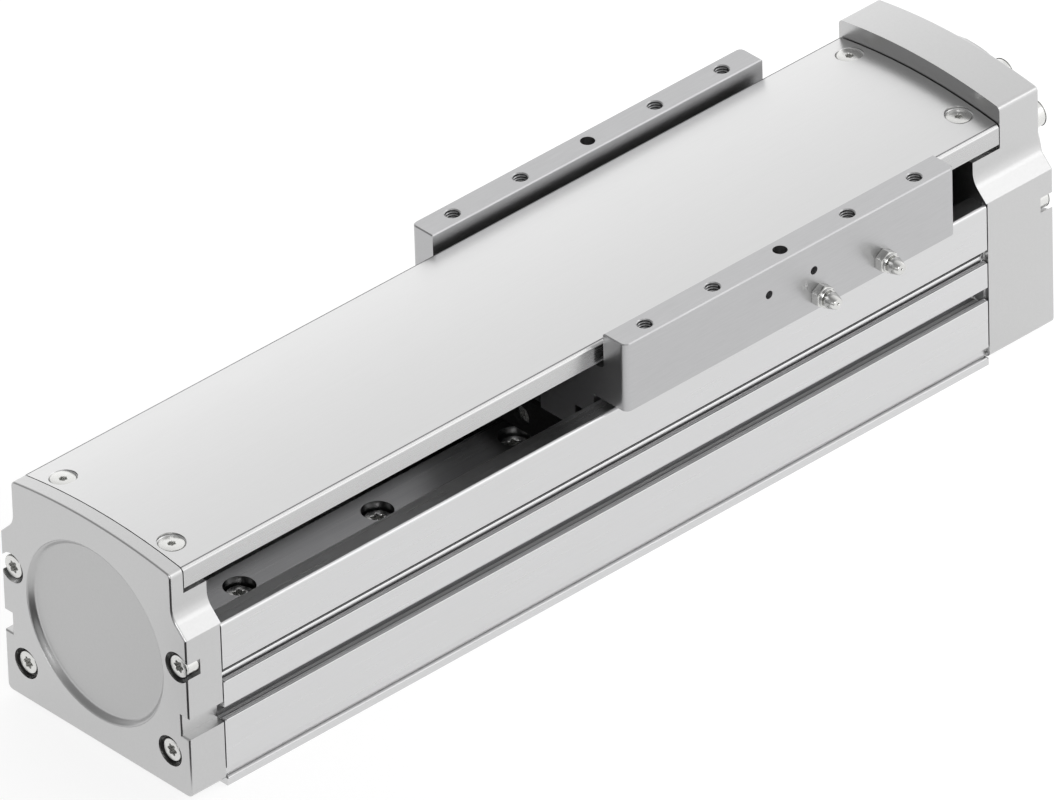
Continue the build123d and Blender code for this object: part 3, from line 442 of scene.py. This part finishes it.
# threads in the slide's M5 holes. Their 0.8 mm pitch is too fine to show in the render, so the
# turns stand 1 mm apart
holeThread = {
    "node": "slide_carriage",
    "places": [(x, y) for x in (15, 45, 105, 135) for y in (-45.35, 45.35)],
    "root": 2.49, "crest": 2.24, "pitch": 1.0, "turns": 10, "stepsPerTurn": 32, "top": 0.35,
    "flat": 0.50, "crestWidth": 0.05,  # width of the flat root and of the crest
}
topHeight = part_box(holeThread["node"])[1].z
root, crest, pitch = holeThread["root"], holeThread["crest"], holeThread["pitch"]
crestTop = -holeThread["flat"] - (root - crest)  # the flank slopes at 45 degrees
profile = [
    (root, 0), (root, -holeThread["flat"]), (crest, crestTop),
    (crest, crestTop - holeThread["crestWidth"]), (root, -pitch),
]
mesher = bmesh.new()
for x, y in holeThread["places"]:
    part = threadShape(profile, 0, -pitch, holeThread["turns"], holeThread["stepsPerTurn"])
    place = Vector((x / 1000, y / 1000, topHeight - holeThread["top"] / 1000))
    joinInto(mesher, part, Matrix.Translation(place))
finishPiece("slideThreads", mesher, "cutThread", "carriage")
print("stage 6: slide threads made")

# the end cap's bare round disc: a flat face with a soft, rolled rim
bareDisc = {
    "node": "end_cap", "height": 44.7, "turnSteps": 128, "sharpAngle": 60,
    # radius and depth from the cap's front; the rim's outline rolls over at both ends
    "face": (0, -1.95), "back": (0, -1.98),
    "rim": [
        (29.6, -1.95), (30.05, -1.93), (30.45, -1.84), (30.8, -1.65), (31.2, -1.2), (31.6, -0.72),
        (31.9, -0.40), (32.2, -0.17), (32.5, -0.06), (32.5, -0.12), (30.95, -1.98),
    ],
}
discPlace = Vector((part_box(bareDisc["node"])[0].x, 0, bareDisc["height"] / 1000))
profile = [bareDisc["face"]] + bareDisc["rim"] + [bareDisc["back"]]
mesher = bmesh.new()
joinInto(mesher, turnedShape(profile, bareDisc["turnSteps"]), along(discPlace, (-1, 0, 0)))
finishPiece("bareDisc", mesher, "turnedDisc", "base", sharpAngle=bareDisc["sharpAngle"])

# the slots' die lines and ledge, the clamping groove's lip, and the slots' rounded lower edges
dieLines = {
    "node": "barrel", "endGap": 0.6, "sharpAngle": 50,
    # depth is measured from the barrel's side inwards: start, end, then where the ribs stand
    # strips of painted shade, with die lines, on the slots' floors near the mouth
    "slotFloorPaintedShade": [
        {"height": 25.18, "start": 0.30, "end": 2.15, "ribs": (0.65, 1.15, 1.65), "ribRadius": 0.17},
        {"height": 23.18, "start": 2.30, "end": 5.70, "ribs": (3.4, 4.75, 5.4), "ribRadius": 0.28},
        {"height": 39.90, "start": 0.30, "end": 2.30, "ribs": (0.75, 1.25, 1.75), "ribRadius": 0.16},
    ],
    # darker painted shade on the T-slot's floor deep inside
    "darkPaintedShade": [{"height": 23.18, "start": 5.75, "end": 7.40, "ribs": (6.1, 6.6), "ribRadius": 0.15}],
    "thickness": 0.06, "ribSteps": 6,
    "edgeHeights": (25.18, 39.90), "edgeRadius": 0.28, "edgeSink": 0.16, "edgeSteps": 12,
    # rolled ledge in the sensor slot that hooks grip behind: a quarter of an ellipse, and its foot
    "ledge": {"depth": 2.95, "height": 40.70, "reach": 0.75, "rise": 1.15, "steps": 10},
    "ledgeFoot": [(2.25, 40.48), (2.45, 40.34), (2.95, 40.30)],
    "ledgeShade": [
        # dark strips of painted shade over and under the ledge
        [(2.60, 41.75), (2.60, 42.25), (3.40, 42.25), (3.40, 42.19), (2.71, 42.19), (2.71, 41.75)],
        [(2.31, 39.89), (2.31, 39.97), (2.60, 39.99), (2.60, 40.32), (2.71, 40.32), (2.71, 39.89)],
    ],
    # the clamping groove's back wall leans back, its lip is rounded, a dark gap lies between them
    "grooveWall": [(2.09, 2.70), (1.70, 3.20), (1.90, 4.00), (2.01, 4.80), (2.03, 5.50), (2.09, 5.50)],
    "grooveLip": [
        (0.06, 2.61), (0.20, 2.76), (0.45, 2.90), (0.75, 3.00), (1.00, 3.02), (1.12, 2.92), (1.15, 2.61),
    ],
}


def addStrip(target, outline, side, piece):
    # a closed (depth, height) outline in millimetres, measured from a node's side and drawn along X
    low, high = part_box(piece["node"])
    startX, endX = low.x * 1000 + piece["endGap"], high.x * 1000 - piece["endGap"]
    strip = bmesh.new()
    wall = high.y * 1000
    rim = [strip.verts.new(mm(startX, side * (wall - depth), height)) for depth, height in outline]
    face = strip.faces.new(rim)
    pushed = bmesh.ops.extrude_face_region(strip, geom=[face])
    moved = [v for v in pushed["geom"] if isinstance(v, bmesh.types.BMVert)]
    bmesh.ops.translate(strip, vec=mm(endX - startX, 0, 0), verts=moved)
    joinInto(target, strip)


def ribbedOutline(floorLine):
    # a thin strip with half-round ribs on top, as (depth, height) points
    base = floorLine["height"] + dieLines["thickness"]
    outline = [(floorLine["start"], floorLine["height"]), (floorLine["start"], base)]
    for depth in floorLine["ribs"]:
        for step in range(dieLines["ribSteps"] + 1):
            angle = pi * step / dieLines["ribSteps"]
            outline.append((
                depth - floorLine["ribRadius"] * cos(angle), base + floorLine["ribRadius"] * sin(angle),
            ))
    return outline + [(floorLine["end"], base), (floorLine["end"], floorLine["height"])]


# the strips in the two painted shades, with the ledge's dark strips among the darker ones
for finishName in ("slotFloorPaintedShade", "darkPaintedShade"):
    mesher = bmesh.new()
    for side in (-1, 1):
        for floorLine in dieLines[finishName]:
            addStrip(mesher, ribbedOutline(floorLine), side, dieLines)
        for outline in dieLines["ledgeShade"] if finishName == "darkPaintedShade" else ():
            addStrip(mesher, outline, side, dieLines)
    finishPiece(finishName + "Lines", mesher, finishName, "base", sharpAngle=dieLines["sharpAngle"])

ledge = dieLines["ledge"]
ledgeOutline = []
for step in range(ledge["steps"] + 1):
    angle = pi / 2 * step / ledge["steps"]
    ledgeOutline.append((
        ledge["depth"] - ledge["reach"] * sin(angle), ledge["height"] + ledge["rise"] * cos(angle),
    ))
edgeOutlines = [ledgeOutline + dieLines["ledgeFoot"], dieLines["grooveWall"], dieLines["grooveLip"]]
for height in dieLines["edgeHeights"]:
    angles = [2 * pi * step / dieLines["edgeSteps"] for step in range(dieLines["edgeSteps"])]
    edgeOutlines.append([
        (
            dieLines["edgeSink"] + dieLines["edgeRadius"] * cos(angle),
            height - dieLines["edgeSink"] + dieLines["edgeRadius"] * sin(angle),
        )
        for angle in angles
    ])
mesher = bmesh.new()
for side in (-1, 1):
    for outline in edgeOutlines:
        addStrip(mesher, outline, side, dieLines)
finishPiece("slotEdges", mesher, "anodisedBarrel", "base")

# the cover's flanged edges: flat sides and broken corners in painted shade, a darker copy of the
# cover's grey, and a thin dark strip of painted shade along the arch. Points are depth from the
# cover's side and height, and the flat side stands a hair proud of the solid
coverEdge = {
    "node": "cover_plate", "endGap": 0.02,
    "side": [
        (0.80, 83.60), (0.12, 77.92), (-0.02, 77.92), (-0.02, 84.14), (0.03, 84.34), (0.14, 84.50),
        (0.78, 85.08), (0.88, 85.14), (0.96, 85.17),
    ],
    # a thin dark strip of painted shade along the arch
    "shadeLine": [(0.96, 84.90), (0.96, 85.35), (1.26, 85.41), (1.26, 84.90)],
}
# the sides in a darker copy of the cover's grey and the line along the arch in dark grey, both painted
# shade
for name, outline, finishName in (
    ("coverEdges", coverEdge["side"], "coverEdgePaintedShade"), ("coverShadeLines", coverEdge["shadeLine"], "darkPaintedShade"),
):
    mesher = bmesh.new()
    for side in (-1, 1):
        addStrip(mesher, outline, side, coverEdge)
    finishPiece(name, mesher, finishName, "base")
print("stage 7: slot lines and cover edges made")

# ball screw: a ground helical ball track between plain journals
ballScrew = {
    "node": "ball_screw", "radius": 8.0, "lead": 10.0, "trackRadius": 1.85, "trackDepth": 1.3,
    "trackSteps": 8, "stepsPerTurn": 40, "journalSteps": 64, "threadStart": -160.0,
    "threadEnd": 170.0, "axisHeight": 56.5, "weld": 0.00001,
    # radius and place along X; each journal runs on to the screw's own end
    "endRadius": 5, "idleChamfer": 0.4, "driveChamfer": 0.8,
    "idleJournal": [(5, -168.9), (7.6, -168.9), (8, -168.5), (8, -159.9), (0, -159.9)],
    "driveJournal": [
        (0, 169.9), (8, 169.9), (8, 176.3), (7.6, 176.7), (6, 176.7), (6, 206.6), (5.7, 207.0),
        (5, 207.0),
    ],
}
lead = ballScrew["lead"]
profile = [(ballScrew["radius"], -lead / 2)]
for step in range(ballScrew["trackSteps"] + 1):  # half round track
    angle = pi * step / ballScrew["trackSteps"]
    profile.append((
        ballScrew["radius"] - ballScrew["trackDepth"] * sin(angle),
        -ballScrew["trackRadius"] * cos(angle),
    ))
profile.append((ballScrew["radius"], lead / 2))
start = ballScrew["threadStart"] - lead
turns = int((ballScrew["threadEnd"] - start) / lead) + 1
part = threadShape(profile, start, lead, turns, ballScrew["stepsPerTurn"])
bmesh.ops.remove_doubles(part, verts=part.verts, dist=ballScrew["weld"])
for level, keepAbove in ((ballScrew["threadStart"], True), (ballScrew["threadEnd"], False)):
    cut = bmesh.ops.bisect_plane(
        part, geom=part.verts[:] + part.edges[:] + part.faces[:], plane_co=mm(0, 0, level),
        plane_no=(0, 0, 1), clear_inner=keepAbove, clear_outer=not keepAbove,
    )
    rim = [e for e in cut["geom_cut"] if isinstance(e, bmesh.types.BMEdge)]
    bmesh.ops.edgeloop_fill(part, edges=rim)
low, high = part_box(ballScrew["node"])
lowX, highX = low.x * 1000, high.x * 1000
endRadius, idleChamfer, driveChamfer = (
    ballScrew[key] for key in ("endRadius", "idleChamfer", "driveChamfer")
)
idleEnd = [(0, lowX), (endRadius - idleChamfer, lowX), (endRadius, lowX + idleChamfer)]
driveEnd = [(endRadius, highX - driveChamfer), (endRadius - driveChamfer, highX), (0, highX)]
onAxis = Matrix.Translation(mm(0, 0, ballScrew["axisHeight"])) @ along(Vector((0, 0, 0)), (1, 0, 0))
mesher = bmesh.new()
joinInto(mesher, part, onAxis)
for profile in (idleEnd + ballScrew["idleJournal"], ballScrew["driveJournal"] + driveEnd):
    joinInto(mesher, turnedShape(profile, ballScrew["journalSteps"]), onAxis)
finishPiece("ballScrewGround", mesher, "bearingSteel", "screw", [ballScrew["node"]])
print("stage 8: ball screw made")

# studio: opal light table, a room that fades towards -X and upwards, and three soft boxes
studio = {
    "floorColour": "#888888", "floorRoughness": 0.9, "floorSize": 6.0,
    # the table glows from below, a little more towards +X
    "glowLeft": 0.735, "glowRight": 0.905, "glowRange": (-0.45, 0.45),
    # the room is darker towards -X, as in the photograph, and a little darker overhead
    "roomDark": 0.42, "roomBright": 1.32, "roomRange": (-0.41, 0.45),
    "horizonShare": 1.0, "zenithShare": 0.78, "zenithRange": (0.30, 0.75),
    "backdrop": 0.95,  # what the camera sees past the table's edge
    "boxes": [
        # name, place, size, power in watts
        ("sideBox", (1.7, -1.9, 1.65), 1.3, 4.5),
        ("leftBox", (-2.8, -0.66, 0.84), 0.8, 1.6),
        ("fillBox", (-1.9, -2.1, 1.9), 1.4, 25),  # beside the camera, reaches into the side gaps
    ],
    "boxAim": (0, 0, 0.05),  # the point that all boxes face
    # a black card on the table, kept out of the camera's sight, draws the dark lines on the near
    # cap's upright edges and round its disc
    "card": [(-188, -58), (-262, 25), (-700, 25), (-700, -555), (-192, -555)],
    "cardRise": 0.2, "cardColour": "#0a0a0a", "cardRoughness": 0.95,
}
whiteLight = (1, 1, 1, 1)


def studioSheet(name, mesher, material):
    mesh = bpy.data.meshes.new(name)
    mesher.to_mesh(mesh)
    mesher.free()
    mesh.materials.append(material)
    sheet = bpy.data.objects.new(name, mesh)
    bpy.context.scene.collection.objects.link(sheet)
    return sheet


opal = bpy.data.materials.new("opalAcrylicTable")
opal.use_nodes = True
opal.node_tree.nodes.clear()
tablePlace = addNode(opal.node_tree, "ShaderNodeTexCoord")
tableAlong = addNode(
    opal.node_tree, "ShaderNodeSeparateXYZ", {}, {"Vector": tablePlace.outputs["Object"]},
)
tableGlow = addNode(
    opal.node_tree, "ShaderNodeMapRange",
    {
        "From Min": studio["glowRange"][0], "From Max": studio["glowRange"][1],
        "To Min": studio["glowLeft"], "To Max": studio["glowRight"],
    },
    {"Value": tableAlong.outputs["X"]},
)
opalShader = addNode(
    opal.node_tree, "ShaderNodeBsdfPrincipled",
    {
        "Base Color": linearColour(studio["floorColour"]), "Roughness": studio["floorRoughness"],
        "Emission Color": whiteLight,
    },
    {"Emission Strength": tableGlow.outputs[0]},
)
addNode(opal.node_tree, "ShaderNodeOutputMaterial", {}, {"Surface": opalShader.outputs[0]})
mesher = bmesh.new()
bmesh.ops.create_grid(mesher, x_segments=1, y_segments=1, size=studio["floorSize"] / 2)
floor = studioSheet("studioFloor", mesher, opal)

black = bpy.data.materials.new("blackCardboard")
black.use_nodes = True
blackShader = black.node_tree.nodes["Principled BSDF"]
blackShader.inputs["Base Color"].default_value = linearColour(studio["cardColour"])
blackShader.inputs["Roughness"].default_value = studio["cardRoughness"]
mesher = bmesh.new()
mesher.faces.new([mesher.verts.new(mm(x, y, studio["cardRise"])) for x, y in studio["card"]])
blackCard = studioSheet("blackCard", mesher, black)
blackCard.visible_camera = False
blackCard.visible_shadow = False
blackCard.visible_diffuse = False

room = bpy.data.worlds.new("whiteRoom")
room.use_nodes = True
room.node_tree.nodes.clear()
roomDirection = addNode(room.node_tree, "ShaderNodeTexCoord")
roomAxes = addNode(
    room.node_tree, "ShaderNodeSeparateXYZ", {}, {"Vector": roomDirection.outputs["Generated"]},
)
roomAcross = addNode(
    room.node_tree, "ShaderNodeMapRange",
    {
        "From Min": studio["roomRange"][0], "From Max": studio["roomRange"][1],
        "To Min": studio["roomDark"], "To Max": studio["roomBright"],
    },
    {"Value": roomAxes.outputs["X"]},
)
roomUp = addNode(
    room.node_tree, "ShaderNodeMapRange",
    {
        "From Min": studio["zenithRange"][0], "From Max": studio["zenithRange"][1],
        "To Min": studio["horizonShare"], "To Max": studio["zenithShare"],
    },
    {"Value": roomAxes.outputs["Z"]},
)
roomFade = addNode(
    room.node_tree, "ShaderNodeMath", {"operation": "MULTIPLY"},
    {0: roomAcross.outputs[0], 1: roomUp.outputs[0]},
)
rays = addNode(room.node_tree, "ShaderNodeLightPath")
roomStrength = addNode(
    room.node_tree, "ShaderNodeMix", {"data_type": "FLOAT", 3: studio["backdrop"]},
    {0: rays.outputs["Is Camera Ray"], 2: roomFade.outputs[0]},
)
glow = addNode(
    room.node_tree, "ShaderNodeBackground", {"Color": whiteLight},
    {"Strength": roomStrength.outputs[0]},
)
addNode(room.node_tree, "ShaderNodeOutputWorld", {}, {"Surface": glow.outputs[0]})
bpy.context.scene.world = room
for name, place, size, power in studio["boxes"]:
    lamp = bpy.data.lights.new(name, "AREA")
    lamp.size = size
    lamp.energy = power
    holder = bpy.data.objects.new(name, lamp)
    holder.matrix_world = along(Vector(place), Vector(place) - Vector(studio["boxAim"]))
    bpy.context.scene.collection.objects.link(holder)
bpy.context.scene.view_settings.view_transform = "Standard"
print("stage 9: studio lit")

# camera at the photograph's angle
camera = {
    "azimuth": -41.990, "elevation": 34.100, "roll": -1.7964, "lens": 645.43, "sensorWidth": 36,
    "place": (-3.38286, -3.76456, 3.47319), "shift": (-0.00217, -0.00156),
}
azimuth, elevation, roll = (radians(camera[key]) for key in ("azimuth", "elevation", "roll"))
back = Vector((sin(azimuth) * cos(elevation), -cos(azimuth) * cos(elevation), sin(elevation)))
right = Vector((cos(azimuth), sin(azimuth), 0))
up = back.cross(right)
rolledRight = cos(roll) * right + sin(roll) * up
rolledUp = cos(roll) * up - sin(roll) * right
photoCamera = bpy.data.cameras.new("photoCamera")
photoCamera.lens = camera["lens"]
photoCamera.sensor_width = camera["sensorWidth"]
photoCamera.shift_x, photoCamera.shift_y = camera["shift"]
cameraHolder = bpy.data.objects.new("photoCamera", photoCamera)
turned = Matrix((rolledRight, rolledUp, back)).transposed().to_4x4()
cameraHolder.matrix_world = Matrix.Translation(Vector(camera["place"])) @ turned
bpy.context.scene.collection.objects.link(cameraHolder)
bpy.context.scene.camera = cameraHolder
print("stage 10: camera placed")
